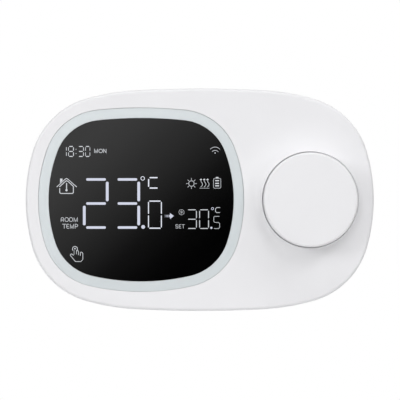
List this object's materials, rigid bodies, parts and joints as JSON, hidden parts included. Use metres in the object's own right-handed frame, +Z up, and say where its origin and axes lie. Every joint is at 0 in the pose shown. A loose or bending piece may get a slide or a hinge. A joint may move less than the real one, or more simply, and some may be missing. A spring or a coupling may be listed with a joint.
{
  "type": "wall thermostat",
  "caption": "Oval white wall thermostat with a black display window in a pale light ring and a large push-and-turn knob on a flared seat; hangs on a slotted wall plate.",
  "frame": {"origin": "centre of the wall plate's back face, on the wall, behind the middle of the unit's outline", "axes": "+Z up; +Y into the wall, so the front looks along -Y; +X to the right seen from the front, from the display towards the knob"},
  "size_m": [0.1396, 0.0345, 0.0892],
  "materials": {
    "white_shell": "fine satin moulding",
    "white_knob": "fine satin moulding",
    "white_plate": "matt moulding",
    "white_frame": "matt moulding",
    "light_guide": "pale translucent, satin",
    "black_window": "polished",
    "black_tape": "matt",
    "lcd_glass": "polished",
    "diffuser": "polished",
    "elastomer": "matt",
    "board_green": "solder mask",
    "chip_black": "matt",
    "shield_tin": "tin plated",
    "antenna_brass": "drawn wire",
    "sensor_black": "dipped bead",
    "can_aluminium": "drawn can",
    "led_white": "clear cap",
    "cell_wrap": "printed film, blank",
    "spring_steel": "nickel plated",
    "shaft_metal": "turned",
    "screw_steel": "zinc plated"
  },
  "bodies": {
    "wall_plate": {"wall_plate": "white_plate"},
    "unit": {"rear_housing": "white_shell", "front_cover": "white_shell", "light_ring": "light_guide", "display_lens": "black_window", "lens_tape": "black_tape", "lcd_panel": "lcd_glass", "lcd_backlight": "diffuser", "display_frame": "white_frame", "lcd_connector": "elastomer", "main_board": "board_green", "controller_chip": "chip_black", "radio_module": "shield_tin", "antenna_coil": "antenna_brass", "temperature_sensor": "sensor_black", "crystal": "shield_tin", "power_inductor": "chip_black", "reservoir_capacitors": "can_aluminium", "ring_leds": "led_white", "backlight_leds": "led_white", "battery_upper": "cell_wrap", "battery_lower": "cell_wrap", "contact_spring": "spring_steel", "contact_flat": "spring_steel", "contact_link": "spring_steel", "encoder_base": "chip_black", "encoder_bracket": "shield_tin", "detent_spring": "spring_steel", "switch_dome": "spring_steel", "board_screws": "screw_steel", "housing_screws": "screw_steel"},
    "press_plunger": {"switch_plunger": "white_frame"},
    "knob": {"encoder_rotor": "white_frame", "encoder_shaft": "shaft_metal", "knob_cap": "white_knob", "knob_hub": "white_frame", "hub_spring": "spring_steel"}
  },
  "joints": [
    {"name": "unit_lift", "type": "slide", "parent": "wall_plate", "child": "unit", "axis": [0, 0, 1], "range_m": [0, 0.005]},
    {"name": "knob_press", "type": "slide", "parent": "unit", "child": "press_plunger", "axis": [0, 1, 0], "range_m": [0, 0.0005], "stiffness_N_per_m": 6000, "springref_m": -0.0003},
    {"name": "knob_turn", "type": "hinge", "parent": "press_plunger", "child": "knob", "pos_m": [0.0444, -0.025, 0], "axis": [0, 1, 0], "continuous": true}
  ]
}
